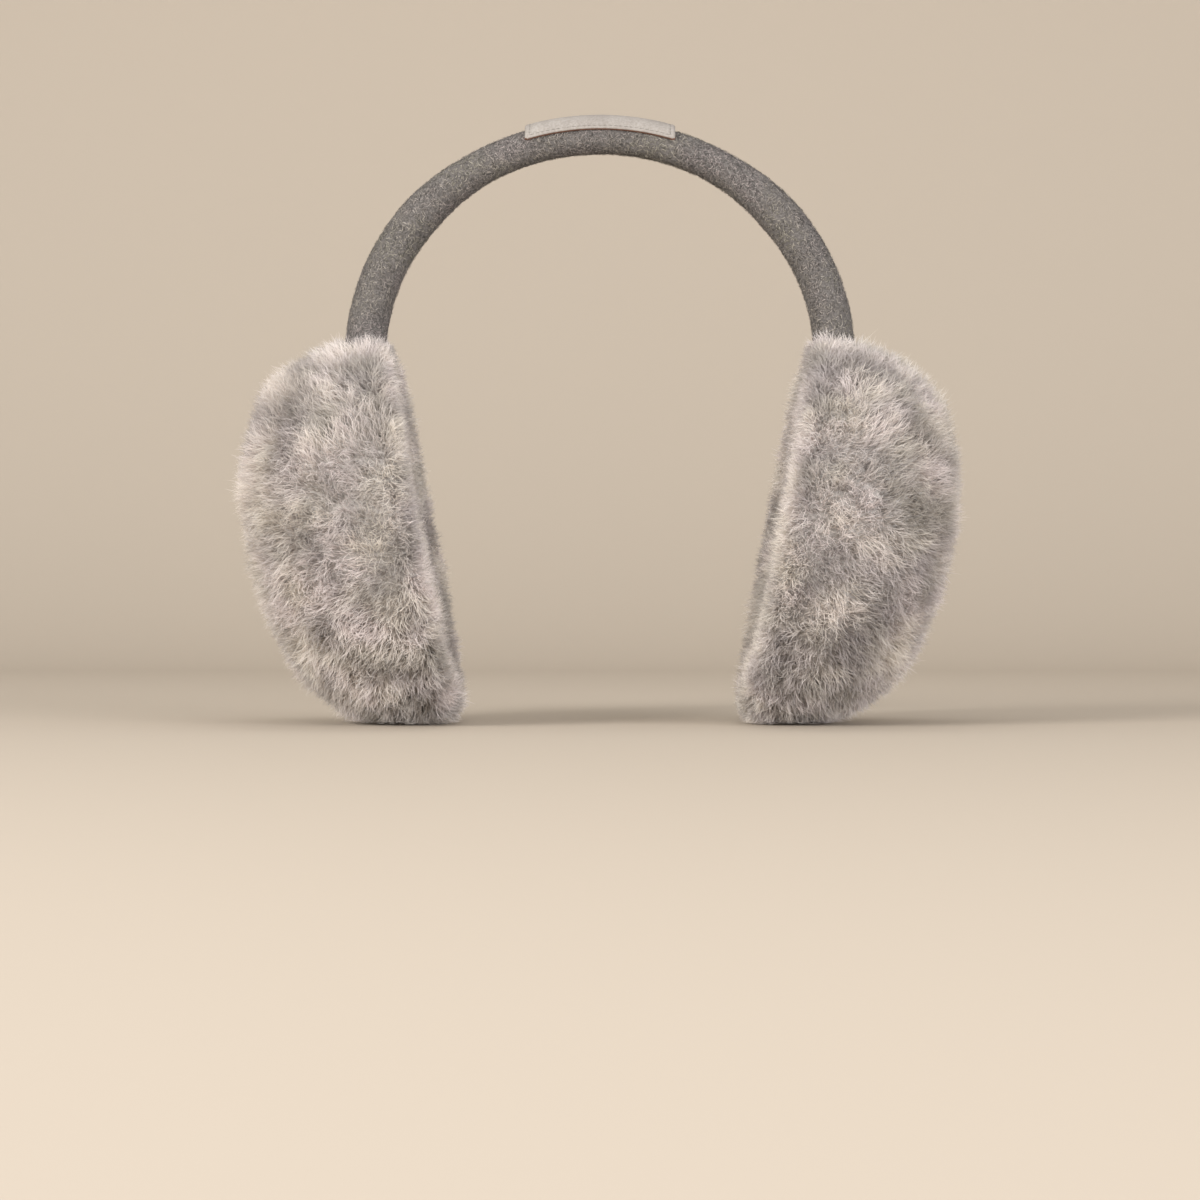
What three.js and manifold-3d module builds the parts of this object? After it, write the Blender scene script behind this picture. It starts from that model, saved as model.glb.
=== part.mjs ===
// Fur earmuffs: a padded felt headband, a plain leather patch over its crown and a round fur pad on each end.
// Millimetres. +Z is up, +X is to the right seen from the front, and the front faces -Y. The origin lies on
// the surface that the two pads stand on, midway between them.
import * as THREE from "three";
import { mergeVertices } from "three/addons/utils/BufferGeometryUtils.js";
import Module from "manifold-3d";

const wasm = await Module();
wasm.setup();

// Headband: a round padded tube bent to half an ellipse, with a straight leg down into each pad. It thins
// towards the crown.
const bandDiameter = 15.4;
const crownDiameter = 12.9;
const bandHalfWidth = 85.4; // from the middle plane to the tube's centreline
const bandRise = 80.2; // from the top of the legs to the centreline at the crown
const thinning = { start: 0.62, end: 0.92 }; // shares of that rise between which the tube thins
const legLength = 22;
const legTopBelowPadTop = 10.7;
const bandSides = 12;
const bandSteps = 48;

// Leather patch, wrapped over the top of the tube
const patchLength = 54.6; // from one upright cut end to the other
const patchThickness = 1.4;
const patchWrap = 147; // degrees of the tube that it covers
const patchSteps = 10;

// Fur pads: the outer form of the fur, a thick D that is round in the side view
const padDiameter = 147;
const padThickness = 67.5; // from the plane of the inner face to the top of the dome
const padTilt = 11; // degrees by which the lower rim leans inwards
const padInsideLeg = 23.9; // from a leg's centreline in to the middle of the inner face's plane
const padSquash = 2.5; // by which the pad's own weight flattens it below
const faceDish = 4.5; // hollow of the inner face, at its middle
const rimRadius = 4;
const fullnessAbove = 2.65; // superellipse exponents of the dome, 2 being a plain ellipse
const fullnessBelow = 2.25;
const padSides = 24;
const domeRings = 8;

// Fur locks on the dome
const pileDepth = 6; // from the dense backing out to the locks' tips
const pressedReach = 26; // height over which the pressed pile below regains its depth
const leastPile = 1.5; // shallower pile has no locks of its own
const lockSpacing = 17.5;
const lockRadius = 8.5;
const lockRoot = 4; // length of a lock that is sunk in the backing
const lockLean = 38; // degrees from upright, towards the rim
const lockCurl = 5; // sideways bend at a lock's tip
const firstRow = 5.5; // from the rim to the first row of locks
const lockClearOfBand = 5; // from a lock's root to the band's surface
const lockWander = 0.35; // share of its place in a row by which a lock strays
const lockLengths = { least: 0.9, most: 1.25 }; // shares of the pile's depth
const lockSides = 5;

// Gap left between pieces that touch
const clearance = 0.3;

const FELT = new THREE.MeshStandardMaterial({ color: 0x76726c, roughness: 0.95, metalness: 0 });
const LEATHER = new THREE.MeshStandardMaterial({ color: 0xcbc2b6, roughness: 0.6, metalness: 0 });
const FUR = new THREE.MeshStandardMaterial({ color: 0xb2a8a2, roughness: 0.9, metalness: 0 });

const bandRadius = bandDiameter / 2;
const padRadius = padDiameter / 2;
const tilt = THREE.MathUtils.degToRad(padTilt);

// A closed geometry as a solid that can be joined and cut
function solidOf(geometry) {
  geometry.deleteAttribute("normal");
  geometry.deleteAttribute("uv");
  const merged = mergeVertices(geometry, 1e-4);
  const corners = merged.index.array;
  const faces = [];
  for (let i = 0; i < corners.length; i += 3) {
    const [a, b, c] = corners.slice(i, i + 3);
    if (a !== b && b !== c && c !== a) faces.push(a, b, c);
  }
  const vertProperties = merged.attributes.position.array;
  return new wasm.Manifold(new wasm.Mesh({ numProp: 3, vertProperties, triVerts: new Uint32Array(faces) }));
}

function geometryOf(solid) {
  const mesh = solid.getMesh();
  const geometry = new THREE.BufferGeometry();
  geometry.setAttribute("position", new THREE.BufferAttribute(mesh.vertProperties, 3));
  geometry.setIndex(new THREE.BufferAttribute(mesh.triVerts, 1));
  geometry.computeVertexNormals();
  return geometry;
}

// The solid with the sealed voids filled that crossing locks can leave under them
function filled(solid) {
  const skins = solid.decompose().filter((skin) => skin.volume() > 0);
  return skins.reduce((whole, skin) => whole.add(skin));
}

// A closed skin through rings of equal length, from one end point to the other
function loft(first, rings, last) {
  const sides = rings[0].length;
  const points = [first, ...rings.flat(), last];
  const end = points.length - 1;
  const faces = [];
  const at = (ring, side) => 1 + ring * sides + (side % sides);
  for (let side = 0; side < sides; side++) {
    faces.push(0, at(0, side), at(0, side + 1));
    faces.push(end, at(rings.length - 1, side + 1), at(rings.length - 1, side));
    for (let ring = 0; ring + 1 < rings.length; ring++) {
      faces.push(at(ring, side), at(ring + 1, side), at(ring, side + 1));
      faces.push(at(ring, side + 1), at(ring + 1, side), at(ring + 1, side + 1));
    }
  }
  const geometry = new THREE.BufferGeometry().setFromPoints(points);
  geometry.setIndex(faces);
  return geometry;
}

// The arch of the headband between its legs, from the right to the left
class Arch extends THREE.Curve {
  getPoint(t) {
    const angle = Math.PI * t;
    return new THREE.Vector3(bandHalfWidth * Math.cos(angle), 0, springing + bandRise * Math.sin(angle));
  }
}

// The pad's own frame has +X out of the dome and +Z up the inner face. The dome is a superellipse whose
// fullness changes from top to bottom: turn goes round it from the top, climb from its rim (0) to its
// middle (1), and sunk is a depth below the outer form.
function domePoint(turn, climb, sunk) {
  const topness = (1 + Math.cos(turn)) / 2;
  const power = 2 / THREE.MathUtils.lerp(fullnessBelow, fullnessAbove, topness);
  const angle = (climb * Math.PI) / 2;
  const across = (padRadius - sunk) * Math.max(Math.cos(angle), 0) ** power;
  const out = rimRadius + (padThickness - rimRadius - sunk) * Math.sin(angle) ** power;
  return new THREE.Vector3(out, across * Math.sin(turn), across * Math.cos(turn));
}

// Height above the pad's middle of a point of its own frame, once the pad is tilted
function heightFromMiddle(point) {
  return point.z * Math.cos(tilt) - point.x * Math.sin(tilt);
}

// Share of the way up an arc from 0 to 1, eased at both ends
function eased(share) {
  return THREE.MathUtils.smoothstep(share, 0, 1);
}

const profileSteps = 48;
const bottomProfile = Array.from({ length: profileSteps }, (_, i) => domePoint(Math.PI, i / profileSteps, 0));
const padMiddleHeight = -Math.min(...bottomProfile.map(heightFromMiddle)) - padSquash;
const padMiddleOut = bandHalfWidth - padInsideLeg;
const padTop = padMiddleHeight + padRadius * Math.cos(tilt);
const springing = padTop - legTopBelowPadTop;

// Radius of the headband's tube where its centreline is so high
function tubeRadius(height) {
  const risen = (height - springing) / bandRise;
  const share = eased((risen - thinning.start) / (thinning.end - thinning.start));
  return THREE.MathUtils.lerp(bandDiameter, crownDiameter, share) / 2;
}

function bandPath(extra) {
  const path = new THREE.CurvePath();
  const legEnd = springing - legLength - extra;
  const corner = (x, z) => new THREE.Vector3(x, 0, z);
  path.add(new THREE.LineCurve3(corner(bandHalfWidth, legEnd), corner(bandHalfWidth, springing)));
  path.add(new Arch());
  path.add(new THREE.LineCurve3(corner(-bandHalfWidth, springing), corner(-bandHalfWidth, legEnd)));
  return path;
}

// The headband's tube, or with some extra all round it the pocket for it
function tube(extra) {
  const path = bandPath(extra);
  const rings = [];
  for (let step = 0; step <= bandSteps; step++) {
    const middle = path.getPointAt(step / bandSteps);
    const along = path.getTangentAt(step / bandSteps);
    const radius = tubeRadius(middle.z) + extra;
    const ring = Array.from({ length: bandSides }, (_, side) => {
      const angle = ((side + 0.5) / bandSides) * 2 * Math.PI;
      const outward = radius * Math.cos(angle);
      return new THREE.Vector3(along.z * outward, -radius * Math.sin(angle), -along.x * outward).add(middle);
    });
    rings.push(ring);
  }
  return loft(path.getPointAt(0), rings, path.getPointAt(1));
}

// A strip over the band's crown with an arched section, outside the tube by the clearance, and cut upright
// at both ends
function patch() {
  const arch = new Arch();
  const halfLength = patchLength / 2;
  const endHeight = springing + bandRise * Math.sqrt(1 - (halfLength / bandHalfWidth) ** 2);
  const inner = tubeRadius(endHeight) + clearance;
  const halfWrap = THREE.MathUtils.degToRad(patchWrap / 2);
  const section = new THREE.Shape();
  section.absarc(0, 0, inner + patchThickness, Math.PI / 2 - halfWrap, Math.PI / 2 + halfWrap, false);
  section.absarc(0, 0, inner, Math.PI / 2 + halfWrap, Math.PI / 2 - halfWrap, true);
  const reach = (halfLength + bandDiameter / 2) / arch.getLength();
  const strip = new THREE.Curve();
  strip.getPoint = (t) => arch.getPointAt(0.5 + reach * (2 * t - 1));
  const sweep = new THREE.ExtrudeGeometry(section, { steps: patchSteps, curveSegments: 6, extrudePath: strip });
  const kept = new THREE.BoxGeometry(patchLength, 2 * bandDiameter, 2 * bandRise);
  return geometryOf(solidOf(sweep).intersect(solidOf(kept.translate(0, 0, springing + bandRise))));
}

// Depth of the standing pile at a point of the pad, pressed to nothing where the pad stands
function pileAt(point) {
  return pileDepth * eased((heightFromMiddle(point) + padMiddleHeight) / pressedReach);
}

function backingPoint(turn, climb) {
  return domePoint(turn, climb, pileAt(domePoint(turn, climb, 0)));
}

// Dense backing of a pad: the dished inner face, a small round at its rim, and the dome
function backing() {
  const turns = Array.from({ length: padSides }, (_, i) => (i / padSides) * 2 * Math.PI);
  const rimAt = (turn) => Math.hypot(backingPoint(turn, 0).y, backingPoint(turn, 0).z);
  const ringOf = (out, acrossAt) =>
    turns.map((turn) => {
      const across = acrossAt(turn);
      return new THREE.Vector3(out, across * Math.sin(turn), across * Math.cos(turn));
    });
  const rings = [];
  for (const share of [0.5, 1]) {
    rings.push(ringOf(faceDish * (1 - share ** 2), (turn) => share * (rimAt(turn) - rimRadius)));
  }
  for (const share of [1 / 3, 2 / 3]) {
    const angle = (share * Math.PI) / 2;
    const inset = rimRadius * (1 - Math.sin(angle));
    rings.push(ringOf(rimRadius * (1 - Math.cos(angle)), (turn) => rimAt(turn) - inset));
  }
  for (let ring = 0; ring < domeRings; ring++) {
    rings.push(turns.map((turn) => backingPoint(turn, ring / domeRings)));
  }
  return loft(new THREE.Vector3(faceDish, 0, 0), rings, backingPoint(0, 1));
}

// The same number from 0 to 1 each time for the same place in a pattern
function scatter(index) {
  const value = Math.sin(index * 12.9898) * 43758.5453;
  return value - Math.floor(value);
}

// A lock of fur: a blunt tapering body that bends towards its flow, standing on +Y and bending to +X
function lock(length, radius) {
  const taper = [
    { up: 0, wide: 0 },
    { up: 0, wide: 1 },
    { up: 0.5, wide: 0.66 },
    { up: 1, wide: 0 },
  ];
  const profile = taper.map(({ up, wide }) => new THREE.Vector2(wide * radius, up * length));
  const geometry = new THREE.LatheGeometry(profile, lockSides);
  const spots = geometry.attributes.position;
  for (let i = 0; i < spots.count; i++) {
    spots.setX(i, spots.getX(i) + lockCurl * (spots.getY(i) / length) ** 2);
  }
  return geometry;
}

// Climbs of the rows of locks, a spacing apart along the dome from the first row
function rowClimbs() {
  const climbs = [];
  let walked = lockSpacing - firstRow;
  for (let i = 1; i <= profileSteps; i++) {
    const before = domePoint(Math.PI / 2, (i - 1) / profileSteps, pileDepth);
    walked += before.distanceTo(domePoint(Math.PI / 2, i / profileSteps, pileDepth));
    if (walked >= lockSpacing) {
      walked -= lockSpacing;
      climbs.push(i / profileSteps);
    }
  }
  return climbs;
}

// Where each lock is rooted, with the direction out of the backing and the flow towards the rim
function lockRoots() {
  const step = 0.01;
  const roots = [];
  rowClimbs().forEach((climb, row) => {
    const girth = 2 * Math.PI * domePoint(Math.PI / 2, climb, pileDepth).y;
    const count = Math.max(1, Math.round(girth / lockSpacing));
    for (let i = 0; i < count; i++) {
      const wander = lockWander * (scatter(roots.length + 1) - 0.5);
      const turn = ((i + wander + 0.5 * (row % 2)) / count) * 2 * Math.PI;
      const flow = backingPoint(turn, Math.max(climb - step, 0)).sub(backingPoint(turn, climb + step));
      const round = backingPoint(turn + step, climb).sub(backingPoint(turn - step, climb));
      roots.push({
        place: backingPoint(turn, climb),
        depth: pileAt(domePoint(turn, climb, 0)),
        flow: flow.normalize(),
        out: round.cross(flow).normalize(),
      });
    }
  });
  return roots;
}

const bandLine = bandPath(0).getSpacedPoints(bandSteps);

// Shortest way from a point of the pad's frame to the centreline of the band
function wayToBand(point, toWorld) {
  const here = point.clone().applyMatrix4(toWorld);
  return Math.min(...bandLine.map((spot) => spot.distanceTo(here)));
}

function padSolid() {
  const toWorld = new THREE.Matrix4().makeRotationY(tilt).setPosition(padMiddleOut, 0, padMiddleHeight);
  const lean = THREE.MathUtils.degToRad(lockLean);
  let pad = solidOf(backing().applyMatrix4(toWorld));
  lockRoots().forEach(({ place, flow, out, depth }, index) => {
    if (depth < leastPile || wayToBand(place, toWorld) < bandRadius + lockClearOfBand) return;
    const along = out.clone().multiplyScalar(Math.cos(lean)).addScaledVector(flow, Math.sin(lean));
    const bend = flow.clone().addScaledVector(along, -flow.dot(along)).normalize();
    const share = THREE.MathUtils.lerp(lockLengths.least, lockLengths.most, scatter(index + 0.5));
    const length = lockRoot + (depth * share) / Math.cos(lean);
    const base = place.clone().addScaledVector(along, -lockRoot);
    const stand = new THREE.Matrix4().makeBasis(bend, along, bend.clone().cross(along)).setPosition(base);
    pad = pad.add(solidOf(lock(length, lockRadius).applyMatrix4(stand.premultiply(toWorld))));
  });
  const pocket = solidOf(tube(clearance));
  const under = new THREE.BoxGeometry(4 * padDiameter, 4 * padDiameter, padDiameter);
  return filled(pad).subtract(pocket).subtract(solidOf(under.translate(0, 0, -padDiameter / 2)));
}

const earmuffs = new THREE.Group();

function addPiece(name, geometry, material) {
  const piece = new THREE.Mesh(geometry, material);
  piece.name = name;
  earmuffs.add(piece);
  return piece;
}

const padGeometry = geometryOf(padSolid());
addPiece("headband", geometryOf(solidOf(tube(0))), FELT);
addPiece("leather_patch", patch(), LEATHER);
addPiece("fur_pad_right", padGeometry, FUR);
addPiece("fur_pad_left", padGeometry, FUR).scale.x = -1;

export default earmuffs;
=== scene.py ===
import math
from collections import namedtuple

import bmesh
import bpy
import numpy as np
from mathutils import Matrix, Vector, kdtree, noise


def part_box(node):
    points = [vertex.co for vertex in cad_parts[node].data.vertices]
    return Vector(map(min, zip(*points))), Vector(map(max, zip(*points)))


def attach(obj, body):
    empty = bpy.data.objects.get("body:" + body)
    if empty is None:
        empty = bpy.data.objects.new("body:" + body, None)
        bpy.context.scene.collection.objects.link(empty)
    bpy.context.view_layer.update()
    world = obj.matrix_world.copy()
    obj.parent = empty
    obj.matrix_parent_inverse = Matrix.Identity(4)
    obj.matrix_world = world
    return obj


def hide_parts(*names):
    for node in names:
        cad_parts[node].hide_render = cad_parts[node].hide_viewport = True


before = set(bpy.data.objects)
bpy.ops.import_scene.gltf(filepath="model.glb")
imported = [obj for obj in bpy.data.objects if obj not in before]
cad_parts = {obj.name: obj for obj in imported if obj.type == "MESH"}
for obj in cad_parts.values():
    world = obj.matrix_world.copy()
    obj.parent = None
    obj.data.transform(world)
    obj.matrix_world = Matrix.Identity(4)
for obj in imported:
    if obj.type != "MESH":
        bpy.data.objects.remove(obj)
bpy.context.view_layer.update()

MM = 0.001

# Sizes of the solids in the frame
LEG_RADIUS = 7.7 * MM
CROWN_RADIUS = 6.45 * MM
BAND_SIDES = 12
BAND_HALF_WIDTH = 85.4 * MM
BAND_RISE = 80.2 * MM
THINNING = (0.62, 0.92)  # shares of that rise between which the tube thins
PAD_RADIUS = 73.5 * MM
PAD_THICKNESS = 67.5 * MM
PAD_TILT = math.radians(11)
PAD_INSIDE_LEG = 23.9 * MM
FACE_DISH = 4.5 * MM
FULLNESS_ABOVE = 2.65
FULLNESS_BELOW = 2.25

PATCH_LENGTH = 54.6 * MM
PATCH_THICKNESS = 1.4 * MM
PATCH_WRAP = math.radians(147)
CLEARANCE = 0.3 * MM
PATCH_INSIDE = CROWN_RADIUS + CLEARANCE
PATCH_OUTSIDE = PATCH_INSIDE + PATCH_THICKNESS
PATCH_CORNER = 1 * MM
STITCH_FROM_END = 1.8 * MM
STITCH_FROM_LONG_EDGE = 1.2 * MM
STITCH_LENGTH = 1.3 * MM
STITCH_PITCH = 1.9 * MM
THREAD_RADIUS = 0.13 * MM
GROOVE_DEPTH = 0.16 * MM
GROOVE_WIDTH = 0.35 * MM
GROOVE_REACH = 0.4 * MM  # how far the groove goes past the stitches, towards the border
WORN_DEPTH = 0.3 * MM
WORN_WIDTH = 0.4 * MM

band_low, band_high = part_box("headband")
SPRINGING = band_high.z - CROWN_RADIUS * math.cos(math.pi / BAND_SIDES) - BAND_RISE
LEG_END = band_low.z
PAD_MIDDLE_OUT = BAND_HALF_WIDTH - PAD_INSIDE_LEG
PAD_TOP_ABOVE_SPRINGING = 10.7 * MM
PAD_MIDDLE_HEIGHT = SPRINGING + PAD_TOP_ABOVE_SPRINGING - PAD_RADIUS * math.cos(PAD_TILT)
FLOOR_GAP = 0.3 * MM

# Fur: its depth, its edge round the face, and how its strands stray, flow and swell in patches
FUR_DEPTH = 7.5 * MM
FACE_PILE = 4.5 * MM
EDGE_RADIUS = 10 * MM  # the fur turns round the edge of the face more softly than the solid does
SKIN_EDGE = 9.5 * MM
SKIN_RADIUS = PAD_RADIUS - FUR_DEPTH
STRAND_WIDTH = 0.27 * MM
FLOW_SHARE = 0.08
STRAY = 0.42
SWELL_SIZE = 17 * MM
SWELL_LENGTH = 0.24
# How far the strands' tone follows the swell: painted light on the raised swells, painted shade in the dips
# between them
SWELL_PAINTED_SHADE = 1.1
WISP_SHARE = 0.03
WISP_LENGTH = 1.25
LARGE_TUFTS = 0.008  # to a square millimetre
SMALL_TUFTS = 0.1
BAND_GAP = 0.4 * MM

FELT_FIBRES = 20000
FELT_INSET = 0.3 * MM  # the felt lies so far inside the solid, under its fibres
FUR_SEED, FELT_SEED = 11, 31

# The photograph's scale and viewpoint
PHOTO_WIDTH = 1200 * 0.3645 * MM
EYE_HEIGHT = 45 * MM
LENS, SENSOR = 100, 36

SIDES = {"left": -1, "right": 1}


# Small vector helpers on arrays of points


def unit(v):
    return v / np.maximum(np.linalg.norm(v, axis=-1, keepdims=True), 1e-12)


def mix(a, b, share):
    return a + (b - a) * share


def smooth(low, high, x):
    t = np.clip((x - low) / (high - low), 0, 1)
    return t * t * (3 - 2 * t)


def random_units(rng, count):
    return unit(rng.normal(size=(count, 3)))


def noise_at(places, size):
    """Smooth noise of about -1 to 1 at each place, in lumps of about that size."""
    flat = places.reshape(-1, 3)
    return np.array([noise.noise(Vector(place) / size) for place in flat]).reshape(places.shape[:-1])


def around_axis(turn, out, across):
    """Points of a pad in its own frame: so far out along x, and so far from that axis at each turn."""
    return np.stack(np.broadcast_arrays(out, across * np.sin(turn), across * np.cos(turn)), -1)


# The pad's form, in its own frame: x out of the dome, z up the inner face


def dome(turn, climb):
    power = 2 / mix(FULLNESS_BELOW, FULLNESS_ABOVE, (1 + np.cos(turn)) / 2)
    angle = np.clip(climb, 0, 1) * math.pi / 2
    across = PAD_RADIUS * np.maximum(np.cos(angle), 0) ** power
    out = EDGE_RADIUS + (PAD_THICKNESS - EDGE_RADIUS) * np.sin(angle) ** power
    return around_axis(turn, out, across)


def rim(turn, share):
    angle = share * math.pi / 2
    across = PAD_RADIUS - EDGE_RADIUS * (1 - np.sin(angle))
    return around_axis(turn, EDGE_RADIUS * (1 - np.cos(angle)), across)


def face(turn, share):
    return around_axis(turn, FACE_DISH * (1 - share**2), share * (PAD_RADIUS - EDGE_RADIUS))


def to_world(local, side):
    c, s = math.cos(PAD_TILT), math.sin(PAD_TILT)
    out, along, up = local[..., 0], local[..., 1], local[..., 2]
    x = side * (PAD_MIDDLE_OUT + out * c + up * s)
    return np.stack([x, along, PAD_MIDDLE_HEIGHT - out * s + up * c], -1)


# The skin that the fur grows from, inside that form: its places answer to the same turn and share


def skin_under_dome(turn, climb):
    power = 2 / mix(FULLNESS_BELOW, FULLNESS_ABOVE, (1 + np.cos(turn)) / 2)
    angle = np.clip(climb, 0, 1) * math.pi / 2
    across = SKIN_RADIUS * np.maximum(np.cos(angle), 0) ** power
    out = SKIN_EDGE + (PAD_THICKNESS - FUR_DEPTH - SKIN_EDGE) * np.sin(angle) ** power
    return around_axis(turn, out, across)


def skin_under_rim(turn, share):
    out = mix(FACE_PILE, SKIN_EDGE, share)
    return around_axis(turn, out, SKIN_RADIUS)


def skin_under_face(turn, share):
    across = share * SKIN_RADIUS
    out = FACE_PILE + FACE_DISH * (1 - share**2)
    return around_axis(turn, out, across)


ZONES = {dome: skin_under_dome, rim: skin_under_rim, face: skin_under_face}


def spread_on(surface, rng, density):
    """Random places on surface(turn, share), so many to a square millimetre: turn and share of each."""
    grid = 120
    turns = np.linspace(0, 2 * math.pi, 2 * grid + 1)
    shares = np.linspace(0, 1, grid + 1)
    t, s = np.meshgrid((turns[1:] + turns[:-1]) / 2, (shares[1:] + shares[:-1]) / 2, indexing="ij")
    step = 1e-4
    by_turn = (surface(t + step, s) - surface(t - step, s)) / (2 * step)
    by_share = (surface(t, s + step) - surface(t, s - step)) / (2 * step)
    per_cell = np.linalg.norm(np.cross(by_turn, by_share), axis=-1).ravel() * turns[1] * shares[1]
    count = round(per_cell.sum() / MM**2 * density)
    cells = rng.choice(per_cell.size, count, p=per_cell / per_cell.sum())
    i, j = np.unravel_index(cells, t.shape)
    return turns[i] + rng.random(count) * turns[1], shares[j] + rng.random(count) * shares[1]


def fur_places(side, rng, density, zones=(dome, rim, face)):
    """Roots on the skin of a pad, and the places over them on the outer form that their strands reach for."""
    roots, ends = [], []
    for zone in zones:
        turn, share = spread_on(zone, rng, density)
        roots.append(to_world(ZONES[zone](turn, share), side))
        ends.append(to_world(zone(turn, share), side))
    return np.concatenate(roots), np.concatenate(ends)


# Meshes


def quads_of(index):
    """Faces between the rows and columns of a grid of point numbers."""
    return np.stack([index[:-1, :-1], index[:-1, 1:], index[1:, 1:], index[1:, :-1]], -1).reshape(-1, 4)


def mesh_piece(name, points, faces, material):
    mesh = bpy.data.meshes.new(name)
    mesh.vertices.add(len(points))
    mesh.vertices.foreach_set("co", np.asarray(points, np.float32).ravel())
    mesh.loops.add(faces.size)
    mesh.loops.foreach_set("vertex_index", faces.astype(np.int32).ravel())
    mesh.polygons.add(len(faces))
    corners = faces.shape[1]
    mesh.polygons.foreach_set("loop_start", np.arange(len(faces), dtype=np.int32) * corners)
    mesh.polygons.foreach_set("loop_total", np.full(len(faces), corners, np.int32))
    mesh.polygons.foreach_set("use_smooth", np.ones(len(faces), bool))
    mesh.update(calc_edges=True)
    mesh.validate()
    mesh.materials.append(material)
    piece = bpy.data.objects.new(name, mesh)
    bpy.context.scene.collection.objects.link(piece)
    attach(piece, "root")
    return piece


def add_values(piece, name, values):
    layer = piece.data.attributes.new(name, "FLOAT", "POINT")
    layer.data.foreach_set("value", np.asarray(values, np.float32).ravel())


def strands(name, paths, width, taper, tone, outward, material):
    """One mesh of thin ribbons along paths (strands, points, 3), each ending in a point, facing outward."""
    count, steps, _ = paths.shape
    tangent = unit(np.gradient(paths, axis=1))
    across = unit(np.cross(tangent, outward[:, None, :]))
    half = (width[:, None] * taper[None, :] / 2)[..., None]
    left = paths - across * half
    right = paths + across * half
    points = np.empty((count, 2 * steps - 1, 3))
    points[:, 0:-1:2] = left[:, :-1]
    points[:, 1:-1:2] = right[:, :-1]
    points[:, -1] = paths[:, -1]
    pattern = []
    for k in range(steps - 2):
        a = 2 * k
        pattern += [(a, a + 1, a + 2), (a + 1, a + 3, a + 2)]
    pattern.append((2 * steps - 4, 2 * steps - 3, 2 * steps - 2))
    pattern = np.array(pattern)
    per = 2 * steps - 1
    triangles = (np.arange(count)[:, None, None] * per + pattern[None]).reshape(-1, 3)
    piece = mesh_piece(name, points.reshape(-1, 3), triangles, material)
    along = np.repeat(np.linspace(0, 1, steps), 2)[:per]
    add_values(piece, "along", np.tile(along, (count, 1)))
    add_values(piece, "tone", np.repeat(tone, per))
    cells = math.ceil(math.sqrt(count))
    margin = 0.12
    u = np.where(np.arange(per) % 2 == 0, margin, 1 - margin)
    u[-1] = 0.5
    v = margin + (1 - 2 * margin) * along
    col, row = np.arange(count) % cells, np.arange(count) // cells
    uv = np.stack([(col[:, None] + u) / cells, (row[:, None] + v) / cells], -1).reshape(-1, 2)
    layer = piece.data.uv_layers.new(name="OFBake")
    layer.data.foreach_set("uv", uv[triangles.ravel()].astype(np.float32).ravel())
    return piece


def grid_piece(name, points, material):
    """A quad mesh over a grid of points (rows, columns, 3), whose columns meet round."""
    rows, cols = points.shape[:2]
    index = np.arange(rows * cols).reshape(rows, cols)
    index = np.concatenate([index, index[:, :1]], 1)
    return mesh_piece(name, points.reshape(-1, 3), quads_of(index), material)


def cap_ends(piece, around, rows):
    """Closes the two ends of a tube of rings."""
    bm = bmesh.new()
    bm.from_mesh(piece.data)
    bm.verts.ensure_lookup_table()
    bm.faces.new([bm.verts[i] for i in range(around)])
    bm.faces.new([bm.verts[(rows - 1) * around + i] for i in reversed(range(around))])
    bmesh.ops.recalc_face_normals(bm, faces=bm.faces)
    bm.to_mesh(piece.data)
    bm.free()


# Materials


def new_material(name):
    material = bpy.data.materials.new(name)
    material.use_nodes = True
    tree = material.node_tree
    return material, tree, tree.nodes["Principled BSDF"]


def ramp_node(tree, stops):
    node = tree.nodes.new("ShaderNodeValToRGB")
    elements = node.color_ramp.elements
    while len(elements) < len(stops):
        elements.new(0.5)
    for element, (place, colour) in zip(elements, stops):
        element.position = place
        element.color = (*colour, 1)
    return node


def noise_node(tree, scale, detail=3.0, coordinates=None):
    node = tree.nodes.new("ShaderNodeTexNoise")
    node.inputs["Scale"].default_value = scale
    node.inputs["Detail"].default_value = detail
    if coordinates is not None:
        tree.links.new(coordinates, node.inputs["Vector"])
    return node


def object_coordinates(tree):
    return tree.nodes.new("ShaderNodeTexCoord").outputs["Object"]


def mix_colour(tree, share, a, b, blend="MIX"):
    node = tree.nodes.new("ShaderNodeMix")
    node.data_type = "RGBA"
    node.blend_type = blend
    for socket, value in zip((node.inputs[0], node.inputs[6], node.inputs[7]), (share, a, b)):
        if isinstance(value, (int, float)):
            socket.default_value = value
        elif isinstance(value, tuple):
            socket.default_value = (*value, 1)
        else:
            tree.links.new(value, socket)
    return node.outputs[2]


def value_of(tree, name):
    node = tree.nodes.new("ShaderNodeAttribute")
    node.attribute_name = name
    return node.outputs["Fac"]


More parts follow.
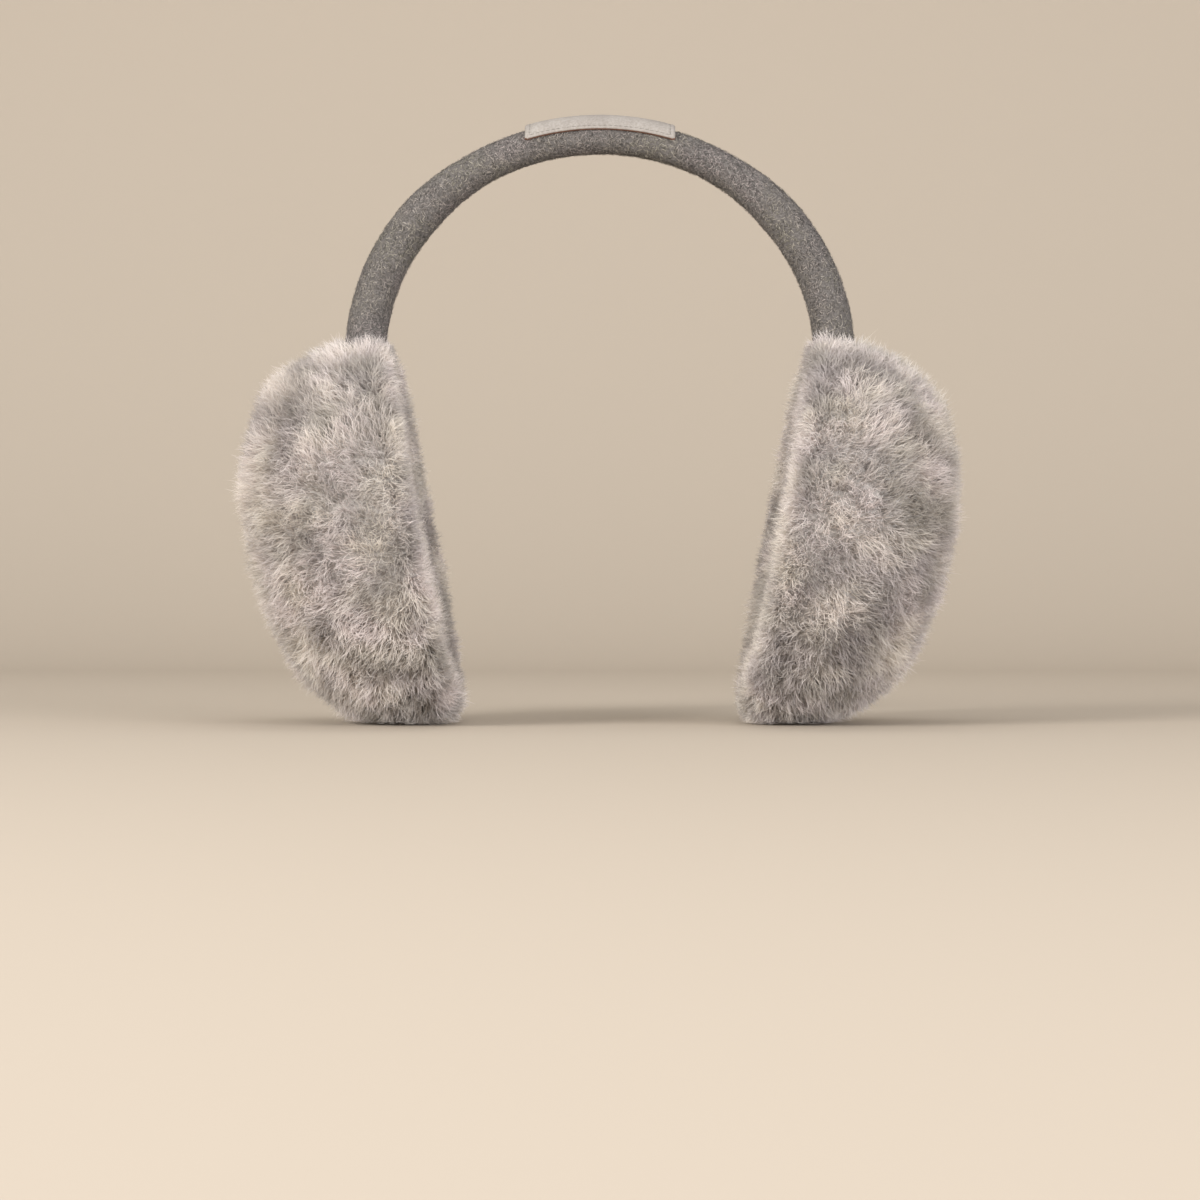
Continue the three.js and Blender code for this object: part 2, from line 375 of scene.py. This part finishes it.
def strand_material(name, roots, tips, dark, light, drifts, translucency):
    """Strands that change colour from root to tip, each with its own tone, in drifts of two tints."""
    material, tree, shader = new_material(name)
    links = tree.links
    length = mix_colour(tree, value_of(tree, "along"), roots, tips)
    drift = ramp_node(tree, [(0.38, drifts[0]), (0.62, drifts[1])])
    links.new(noise_node(tree, 60, 2, object_coordinates(tree)).outputs["Fac"], drift.inputs["Fac"])
    tinted = mix_colour(tree, 1.0, length, drift.outputs["Color"], "MULTIPLY")
    tone = ramp_node(tree, [(0.0, dark), (1.0, light)])
    links.new(value_of(tree, "tone"), tone.inputs["Fac"])
    colour = mix_colour(tree, 1.0, tinted, tone.outputs["Color"], "MULTIPLY")
    links.new(colour, shader.inputs["Base Color"])
    shader.inputs["Roughness"].default_value = 0.55
    shader.inputs["Specular IOR Level"].default_value = 0.25
    through = tree.nodes.new("ShaderNodeBsdfTranslucent")
    links.new(colour, through.inputs["Color"])
    both = tree.nodes.new("ShaderNodeMixShader")
    both.inputs["Fac"].default_value = translucency
    links.new(shader.outputs[0], both.inputs[1])
    links.new(through.outputs[0], both.inputs[2])
    links.new(both.outputs[0], tree.nodes["Material Output"].inputs["Surface"])
    return material


def skin_painted_shade_material():
    """The dense underfur between the strands' roots, dark as painted shade in the gaps between them."""
    material, tree, shader = new_material("underfur")
    fibres = noise_node(tree, 900, 6, object_coordinates(tree))
    # Dark greys over a fine fibre texture: the darkness is painted shade in the gaps between the strands
    ramp = ramp_node(tree, [(0.35, (0.33, 0.31, 0.29)), (0.65, (0.52, 0.49, 0.465))])
    tree.links.new(fibres.outputs["Fac"], ramp.inputs["Fac"])
    tree.links.new(ramp.outputs["Color"], shader.inputs["Base Color"])
    shader.inputs["Roughness"].default_value = 0.95
    return material


# Fur


def flow_over(ends, side):
    """Direction in which the fur is combed: out from the middle of the pad, and a little down."""
    middle = to_world(np.array([0.2 * PAD_THICKNESS, 0, 0]), side)
    return unit(unit(ends - middle) + np.array([0.25 * side, 0, -0.15]))


class Tufts:
    """Places on the outer form, each with a lean, a length and a tone that the strands around it share."""

    def __init__(self, side, density, rng, lean, length_spread, tone_spread):
        self.roots, self.ends = fur_places(side, rng, density)
        count = len(self.ends)
        self.leans = lean * random_units(rng, count)
        self.lengths = 1 + length_spread * rng.normal(size=count)
        self.tones = tone_spread * rng.normal(size=count)
        self.tree = kdtree.KDTree(count)
        for i, place in enumerate(self.ends):
            self.tree.insert(place, i)
        self.tree.balance()

    def nearest(self, places):
        return np.array([self.tree.find(place)[1] for place in places])


def reach_for(roots, ends, side, leans, lengths):
    """Tips of strands that reach for their ends, thrown off by the comb's flow and by their leans."""
    reach = ends - roots
    heading = unit(unit(reach) + FLOW_SHARE * flow_over(ends, side) + leans)
    return roots + heading * (np.linalg.norm(reach, axis=1) * lengths)[:, None]


def curled_paths(roots, knees, tips, steps, curl, rng):
    """Curves from roots past knees to tips, each winding about its course, widest at its tip."""
    count = len(roots)
    t = np.linspace(0, 1, steps)[None, :, None]
    paths = (1 - t) ** 2 * roots[:, None] + 2 * t * (1 - t) * knees[:, None] + t**2 * tips[:, None]
    side_way = unit(np.cross(tips - roots, random_units(rng, count)))
    other_way = unit(np.cross(tips - roots, side_way))
    start, turns = rng.random(count)[:, None], (0.4 + 0.7 * rng.random(count))[:, None]
    swing = 2 * math.pi * (start + turns * t[..., 0])
    size = curl * (0.4 + 1.2 * rng.random(count))[:, None] * t[..., 0]
    paths = paths + side_way[:, None] * (size * np.cos(swing))[..., None]
    return paths + other_way[:, None] * (size * np.sin(swing))[..., None]


def keep_clear_of_band(paths):
    """Pushes points of strands out of the headband's leg."""
    climb = np.clip((paths[..., 2] - SPRINGING) / BAND_RISE, 0, 1)
    middle = BAND_HALF_WIDTH * np.sqrt(1 - climb**2) * np.sign(paths[..., 0])
    away = np.stack([paths[..., 0] - middle, paths[..., 1]], -1)
    reach = np.linalg.norm(away, axis=-1)
    limit = LEG_RADIUS + BAND_GAP
    inside = (reach < limit) & (paths[..., 2] > LEG_END)
    push = limit / np.maximum(reach, 1e-6)
    moved = np.stack([middle + away[..., 0] * push, away[..., 1] * push, paths[..., 2]], -1)
    return np.where(inside[..., None], moved, paths)


def keep_above_floor(paths, rng):
    """Bends strands that would reach below the floor out along it."""
    low = FLOOR_GAP + 1.2 * MM * rng.random(len(paths))[:, None]
    under = np.maximum(low - paths[..., 2], 0)
    heading = paths - paths[:, :1]
    heading[..., 2] = 0
    bent = paths + 0.7 * under[..., None] * unit(heading)
    bent[..., 2] = np.maximum(paths[..., 2], low)
    return bent


# What sets a layer of fur apart. Density is in strands to a square millimetre, length and pull are shares
Layer = namedtuple("Layer", "name zones density length width pull curl taper meshes")
LAYERS = [
    Layer("coat", (dome, rim), 1.18, 1.05, STRAND_WIDTH, 0.24, 1.0 * MM, (0.9, 1, 0.9, 0.65, 0), 2),
    Layer("inside", (face,), 0.8, 1.15, STRAND_WIDTH, 0.25, 0.8 * MM, (0.9, 1, 0.8, 0), 1),
    Layer("underfur", (dome, rim, face), 0.35, 0.8, 1.35 * STRAND_WIDTH, 0.2, 0.7 * MM, (1, 0.9, 0), 1),
]


def fur_layer(layer, side_name, tufts, material, rng):
    """One layer of strands over some zones of a pad, drawn together in tufts, as so many joined meshes."""
    side = SIDES[side_name]
    large, small = tufts
    thin = 1
    roots, ends = fur_places(side, rng, layer.density / thin, layer.zones)
    reach = np.hypot(np.abs(roots[:, 0]) - BAND_HALF_WIDTH, roots[:, 1])
    kept = (reach > LEG_RADIUS - 1 * MM) | (roots[:, 2] < LEG_END)
    roots, ends = roots[kept], ends[kept]
    count = len(roots)

    wander = ends + 1.5 * MM * random_units(rng, count)
    of_large, of_small = large.nearest(wander), small.nearest(wander)
    owner = large.nearest(small.ends)
    swell = noise_at(ends, SWELL_SIZE) + 0.5 * noise_at(ends, 0.4 * SWELL_SIZE)
    lengths = layer.length * large.lengths[of_large] * small.lengths[of_small]
    lengths = lengths * (1 + 0.1 * rng.normal(size=count)) * (1 + SWELL_LENGTH * swell)
    lengths = lengths * np.where(rng.random(count) < WISP_SHARE, WISP_LENGTH, 1)
    leans = large.leans[of_large] + small.leans[of_small] + STRAY * random_units(rng, count)
    tips = reach_for(roots, ends, side, leans, lengths)
    tuft_lengths = layer.length * large.lengths[owner] * small.lengths
    tuft_tips = reach_for(small.roots, small.ends, side, large.leans[owner] + small.leans, tuft_lengths)
    tips = mix(tips, tuft_tips[of_small], (layer.pull * (0.4 + 0.9 * rng.random(count)))[:, None])

    paths = curled_paths(roots, mix(roots, ends, 0.5), tips, len(layer.taper), layer.curl, rng)
    paths = keep_above_floor(keep_clear_of_band(paths), rng)

    # Each tuft's own random tone, plus painted light and shade that follow the swell
    tones = 0.5 + large.tones[of_large] + small.tones[of_small] + SWELL_PAINTED_SHADE * swell
    tones = np.clip(tones + 0.15 * rng.normal(size=count), 0, 1)
    widths = layer.width * math.sqrt(thin) * (0.7 + 0.6 * rng.random(count))
    outward = unit(unit(ends - roots) + 0.9 * random_units(rng, count))
    for part, few in enumerate(np.array_split(rng.permutation(count), layer.meshes)):
        name = f"fur_{side_name}_{layer.name}_{part + 1}"
        strands(name, paths[few], widths[few], np.array(layer.taper), tones[few], outward[few], material)


def fur(side_name, material, rng):
    """The deep fur of one pad: a long coat, a plush of shorter strands inside, underfur between."""
    side = SIDES[side_name]
    large = Tufts(side, LARGE_TUFTS, rng, lean=0.34, length_spread=0.06, tone_spread=0.16)
    small = Tufts(side, SMALL_TUFTS, rng, lean=0.32, length_spread=0.06, tone_spread=0.05)
    for layer in LAYERS:
        fur_layer(layer, side_name, (large, small), material, rng)


def skin(side_name, material):
    """The stuffed body of a pad, whose fine underfur shows between the strands, dark with painted shade."""
    side = SIDES[side_name]
    turns = np.linspace(0, 2 * math.pi, 73)[:-1]
    rows = [skin_under_face(turns, share) for share in np.linspace(0.02, 1, 12)]
    rows += [skin_under_rim(turns, share) for share in (0.5, 1.0)]
    rows += [skin_under_dome(turns, climb) for climb in np.linspace(0, 0.995, 32)[1:]]
    points = to_world(np.array(rows), side)
    points[..., 2] = np.maximum(points[..., 2], FLOOR_GAP)
    piece = grid_piece(f"fur_{side_name}_body", points, material)
    cap_ends(piece, len(turns), len(rows))
    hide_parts(f"fur_pad_{side_name}")


# Headband


def tube_radius(heights):
    share = smooth(*THINNING, (heights - SPRINGING) / BAND_RISE)
    return mix(LEG_RADIUS, CROWN_RADIUS, share)


def band_line(steps):
    """Even points along the band's centreline from leg to leg, with the directions along it and outward."""
    angles = np.linspace(math.pi, 0, 4000)
    arch_x, arch_z = BAND_HALF_WIDTH * np.cos(angles), SPRINGING + BAND_RISE * np.sin(angles)
    x = np.concatenate([[-BAND_HALF_WIDTH], arch_x, [BAND_HALF_WIDTH]])
    z = np.concatenate([[LEG_END], arch_z, [LEG_END]])
    walked = np.concatenate([[0], np.cumsum(np.hypot(np.diff(x), np.diff(z)))])
    even = np.linspace(0, walked[-1], steps)
    x, z = np.interp(even, walked, x), np.interp(even, walked, z)
    along = unit(np.gradient(np.stack([x, z], -1), axis=0))
    flat = np.zeros(steps)
    line = np.stack([x, flat, z], -1)
    tangent = np.stack([along[:, 0], flat, along[:, 1]], -1)
    outward = np.stack([-along[:, 1], flat, along[:, 0]], -1)
    return line, tangent, outward


def ring_directions(outward, angle):
    """Directions out of the tube at an angle from its outer side towards the back."""
    return np.cos(angle)[..., None] * outward + np.sin(angle)[..., None] * np.array([0, 1.0, 0])


def felt_material():
    material, tree, shader = new_material("felt")
    place = object_coordinates(tree)
    flecks = noise_node(tree, 1500, 4, place)
    drifts = noise_node(tree, 60, 3, place)
    shades = [(0.36, (0.03, 0.027, 0.025)), (0.52, (0.10, 0.092, 0.086)), (0.7, (0.25, 0.232, 0.218))]
    speckle = ramp_node(tree, shades)
    tree.links.new(flecks.outputs["Fac"], speckle.inputs["Fac"])
    colour = mix_colour(tree, drifts.outputs["Fac"], speckle.outputs["Color"], (0.105, 0.096, 0.09))
    tree.links.new(colour, shader.inputs["Base Color"])
    shader.inputs["Roughness"].default_value = 0.95
    bump = tree.nodes.new("ShaderNodeBump")
    bump.inputs["Strength"].default_value = 0.7
    bump.inputs["Distance"].default_value = 0.4 * MM
    tree.links.new(flecks.outputs["Fac"], bump.inputs["Height"])
    tree.links.new(bump.outputs[0], shader.inputs["Normal"])
    return material


def band(material):
    """The padded tube, uneven like felt that is pulled over stuffing."""
    rows, around = ((320, 36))
    line, _, outward = band_line(rows)
    angle = np.linspace(0, 2 * math.pi, around + 1)[:-1]
    directions = ring_directions(outward[:, None], angle[None])
    radius = tube_radius(line[:, 2])[:, None, None]
    places = line[:, None] + directions * radius
    lumps = 0.2 * noise_at(places, 9 * MM) + 0.1 * noise_at(places, 2.2 * MM)
    points = line[:, None] + directions * (radius - FELT_INSET + lumps[..., None] * MM)
    piece = grid_piece("headband_felt", points, material)
    cap_ends(piece, around, rows)
    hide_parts("headband")


def band_fibres(material, rng):
    """Short curled fibres matted over the felt, which catch the light."""
    thin = 1
    rows = 2000
    line, tangent, outward = band_line(rows)
    count = FELT_FIBRES // thin
    row = rng.integers(0, rows, count)
    t = np.linspace(-0.5, 0.5, 4)[None, :]
    length = (1.6 + 1.6 * rng.random(count))[:, None] * MM
    course = (rng.random(count) * 2 * math.pi)[:, None] + (rng.normal(size=count) * 2.8)[:, None] * t
    forward = np.cumsum(np.cos(course), 1) / t.size * length
    round_ = np.cumsum(np.sin(course), 1) / t.size * length
    radius = tube_radius(line[row, 2])[:, None]
    height = radius - 0.25 * MM + 0.45 * MM * rng.random(count)[:, None] * np.cos(t * math.pi)
    turn = (rng.random(count) * 2 * math.pi)[:, None] + round_ / radius
    directions = ring_directions(outward[row][:, None], turn)
    paths = line[row][:, None] + tangent[row][:, None] * forward[..., None] + directions * height[..., None]
    tone = np.clip(0.5 + 0.27 * rng.normal(size=count), 0, 1)
    width = (0.18 + 0.12 * rng.random(count)) * MM * math.sqrt(thin)
    taper = np.array([0.6, 1, 0.9, 0])
    strands("headband_fibres", paths, width, taper, tone, directions[:, 1], material)


# Leather patch


def leather_material():
    material, tree, shader = new_material("cream_leather")
    place = object_coordinates(tree)
    grain = noise_node(tree, 1400, 5, place)
    mottle = noise_node(tree, 140, 4, place)
    ramp = ramp_node(tree, [(0.3, (0.262, 0.24, 0.22)), (0.7, (0.335, 0.312, 0.287))])
    tree.links.new(mottle.outputs["Fac"], ramp.inputs["Fac"])
    fine = ramp_node(tree, [(0.35, (0.82, 0.80, 0.78)), (0.6, (1, 1, 1))])
    tree.links.new(grain.outputs["Fac"], fine.inputs["Fac"])
    colour = mix_colour(tree, 1.0, ramp.outputs["Color"], fine.outputs["Color"], "MULTIPLY")
    tree.links.new(colour, shader.inputs["Base Color"])
    shader.inputs["Roughness"].default_value = 0.62
    shader.inputs["Specular IOR Level"].default_value = 0.35
    bump = tree.nodes.new("ShaderNodeBump")
    bump.inputs["Strength"].default_value = 0.35
    bump.inputs["Distance"].default_value = 0.15 * MM
    tree.links.new(grain.outputs["Fac"], bump.inputs["Height"])
    tree.links.new(bump.outputs[0], shader.inputs["Normal"])
    return material


def plain_material(name, dark, light, scale, roughness):
    material, tree, shader = new_material(name)
    spots = noise_node(tree, scale, 4, object_coordinates(tree))
    ramp = ramp_node(tree, [(0.35, dark), (0.65, light)])
    tree.links.new(spots.outputs["Fac"], ramp.inputs["Fac"])
    tree.links.new(ramp.outputs["Color"], shader.inputs["Base Color"])
    shader.inputs["Roughness"].default_value = roughness
    return material


def on_crown(side, angle, radius):
    """Points round the band's crown, so far to the side of its middle, at angles from the top to the front."""
    lean = side / BAND_HALF_WIDTH
    for _ in range(8):
        rise = np.sqrt(1 - lean**2)
        steep = np.hypot(lean / BAND_HALF_WIDTH, rise / BAND_RISE)
        lean = (side - radius * np.cos(angle) * lean / BAND_HALF_WIDTH / steep) / BAND_HALF_WIDTH
    height = SPRINGING + BAND_RISE * rise + radius * np.cos(angle) * rise / BAND_RISE / steep
    return np.stack(np.broadcast_arrays(side, -radius * np.sin(angle), height), -1)


def patch(material, edge_material):
    """The leather patch, a wall wrapped over the crown, with a groove where its border is sewn down."""
    half_length, half_wrap = PATCH_LENGTH / 2, PATCH_WRAP / 2
    shares, angles = np.linspace(-1, 1, 96), np.linspace(-half_wrap, half_wrap, 36)
    share, angle = np.meshgrid(shares, angles, indexing="ij")
    from_long_edge = (half_wrap - np.abs(angle)) * PATCH_OUTSIDE
    cut = PATCH_CORNER - np.sqrt(PATCH_CORNER**2 - np.maximum(PATCH_CORNER - from_long_edge, 0) ** 2)
    side = share * (half_length - cut)
    from_end = half_length - np.abs(side)
    from_edge = np.minimum(from_end, from_long_edge)
    worn = WORN_DEPTH * (1 - np.sqrt(1 - (1 - np.clip(from_edge / WORN_WIDTH, 0, 1)) ** 2))
    sewn = np.minimum(np.abs(from_end - STITCH_FROM_END), np.abs(from_long_edge - STITCH_FROM_LONG_EDGE))
    inside = (from_end > STITCH_FROM_END - GROOVE_REACH)
    inside &= (from_long_edge > STITCH_FROM_LONG_EDGE - GROOVE_REACH)
    groove = np.where(inside, GROOVE_DEPTH * np.exp(-((sewn / GROOVE_WIDTH) ** 2)), 0)
    top = on_crown(side, angle, PATCH_OUTSIDE - worn - groove)
    under = on_crown(side, angle, np.full_like(side, PATCH_INSIDE))
    index = np.arange(side.size).reshape(side.shape)
    lower = index + side.size
    edges = [
        (index[0], lower[0]), (index[-1, ::-1], lower[-1, ::-1]),
        (index[::-1, 0], lower[::-1, 0]), (index[:, -1], lower[:, -1]),
    ]
    walls = [np.stack([up[:-1], up[1:], down[1:], down[:-1]], -1) for up, down in edges]
    faces = np.concatenate([quads_of(index)[:, ::-1], quads_of(lower), *walls])
    points = np.concatenate([top.reshape(-1, 3), under.reshape(-1, 3)])
    piece = mesh_piece("patch_leather", points, faces, material)
    piece.data.materials.append(edge_material)
    on_edge = np.arange(len(faces)) >= len(faces) - sum(len(wall) for wall in walls)
    piece.data.polygons.foreach_set("material_index", on_edge.astype(np.int32))
    piece.data.polygons.foreach_set("use_smooth", ~on_edge)
    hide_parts("leather_patch")


def stitches(material):
    """Short stitches inside the patch's border: arched bits of thread whose ends dip into the leather."""
    half_length = PATCH_LENGTH / 2 - STITCH_FROM_END
    half_wrap = PATCH_WRAP / 2 - STITCH_FROM_LONG_EDGE / PATCH_OUTSIDE
    corners = [(a * half_length, b * half_wrap) for a, b in ((-1, -1), (1, -1), (1, 1), (-1, 1))]
    steps, sides = 7, 6
    t = np.linspace(-0.5, 0.5, steps)
    turn = np.linspace(0, 2 * math.pi, sides + 1)[:-1]
    index = np.arange(steps * sides).reshape(steps, sides)
    pattern = quads_of(np.concatenate([index, index[:, :1]], 1))
    rings, faces = [], []
    for (side_0, angle_0), (side_1, angle_1) in zip(corners, corners[1:] + corners[:1]):
        length = math.hypot(side_1 - side_0, (angle_1 - angle_0) * PATCH_OUTSIDE)
        count = round(length / STITCH_PITCH)
        for k in range(count):
            share = (k + 0.5) / count + t * STITCH_LENGTH / length
            side, angle = mix(side_0, side_1, share), mix(angle_0, angle_1, share)
            lift = THREAD_RADIUS * np.cos(t * math.pi) - GROOVE_DEPTH
            thread = on_crown(side, angle, PATCH_OUTSIDE + lift)
            up = unit(thread - on_crown(side, angle, np.full_like(side, PATCH_INSIDE)))
            across = unit(np.cross(np.gradient(thread, axis=0), up))
            ring = np.cos(turn)[:, None] * across[:, None] + np.sin(turn)[:, None] * up[:, None]
            faces.append(pattern + len(rings) * steps * sides)
            rings.append((thread[:, None] + THREAD_RADIUS * ring).reshape(-1, 3))
    mesh_piece("patch_stitches", np.concatenate(rings), np.concatenate(faces), material)


# Setting


def camera():
    """Level and straight on to the front, at the photograph's height."""
    data = bpy.data.cameras.new("camera")
    data.lens = LENS
    data.sensor_width = SENSOR
    data.clip_start = 0.05
    data.clip_end = 20
    eye = bpy.data.objects.new("camera", data)
    eye.location = (0, -PHOTO_WIDTH * LENS / SENSOR, EYE_HEIGHT)
    eye.rotation_euler = (math.radians(90), 0, 0)
    bpy.context.scene.collection.objects.link(eye)
    bpy.context.scene.camera = eye


def studio():
    """A pale floor that curves up into a backdrop."""
    depth, height, bend = 1.6, 2.6, 0.7
    profile = [(-2.2, 0)]
    turn = np.linspace(0, math.pi / 2, 24)
    profile += [(depth - bend + bend * math.sin(a), bend - bend * math.cos(a)) for a in turn]
    profile.append((depth, height))
    xs = np.array([-3.0, 3.0])
    points = np.array([[(x, y, z) for x in xs] for y, z in profile])
    quads = quads_of(np.arange(2 * len(profile)).reshape(-1, 2))
    mesh = bpy.data.meshes.new("floor")
    mesh.from_pydata(points.reshape(-1, 3).tolist(), [], quads.tolist())
    mesh.polygons.foreach_set("use_smooth", np.ones(len(quads), bool))
    floor = bpy.data.objects.new("floor", mesh)
    bpy.context.scene.collection.objects.link(floor)
    material, tree, shader = new_material("floor")
    shader.inputs["Base Color"].default_value = (0.47, 0.41, 0.34, 1)
    shader.inputs["Roughness"].default_value = 0.9
    shader.inputs["Specular IOR Level"].default_value = 0.1
    mesh.materials.append(material)


def softbox(name, place, aim, size, power, colour):
    data = bpy.data.lights.new(name, "AREA")
    data.shape = "DISK"
    data.size = size
    data.energy = power
    data.color = colour
    lamp = bpy.data.objects.new(name, data)
    lamp.location = place
    lamp.rotation_euler = (Vector(aim) - Vector(place)).to_track_quat("-Z", "Y").to_euler()
    bpy.context.scene.collection.objects.link(lamp)


def lights():
    softbox("key", (-1.3, -1.4, 0.72), (0, 0, 0.1), 1.0, 43, (1.0, 0.97, 0.94))
    softbox("fill", (1.3, -1.65, 0.25), (0, 0, 0.07), 1.4, 50, (0.98, 0.97, 1.0))
    softbox("top", (0, 0.3, 1.7), (0, 0, 0.1), 1.0, 3, (1.0, 0.98, 0.96))
    world = bpy.data.worlds.new("studio")
    bpy.context.scene.world = world
    world.use_nodes = True
    world.node_tree.nodes["Background"].inputs["Color"].default_value = (0.95, 0.93, 0.9, 1)
    world.node_tree.nodes["Background"].inputs["Strength"].default_value = 0.8
    bpy.context.scene.view_settings.view_transform = "Standard"


camera()
studio()
lights()

# The fur's roots are darker than its tips partly by their own colour and partly as painted shade deep in the
# pile
fur_looks = strand_material(
    "fur", roots=(0.55, 0.525, 0.50), tips=(0.87, 0.846, 0.822), dark=(0.66, 0.65, 0.645),
    light=(1.08, 1.07, 1.06), drifts=((0.985, 0.953, 0.972), (0.985, 0.968, 0.932)), translucency=0.45,
)
underfur = skin_painted_shade_material()
for number, side_name in enumerate(SIDES):
    skin(side_name, underfur)
    fur(side_name, fur_looks, np.random.default_rng(FUR_SEED + number))

fibres = strand_material(
    "felt_fibres", roots=(0.19, 0.175, 0.163), tips=(0.23, 0.213, 0.2), dark=(0.25, 0.25, 0.25),
    light=(1.75, 1.72, 1.68), drifts=((0.96, 0.93, 0.97), (0.95, 0.97, 0.9)), translucency=0.2,
)
band(felt_material())
band_fibres(fibres, np.random.default_rng(FELT_SEED))
patch(leather_material(), plain_material("cut_edge", (0.16, 0.075, 0.05), (0.27, 0.14, 0.095), 900, 0.8))
stitches(plain_material("thread", (0.17, 0.155, 0.14), (0.26, 0.24, 0.215), 2500, 0.7))
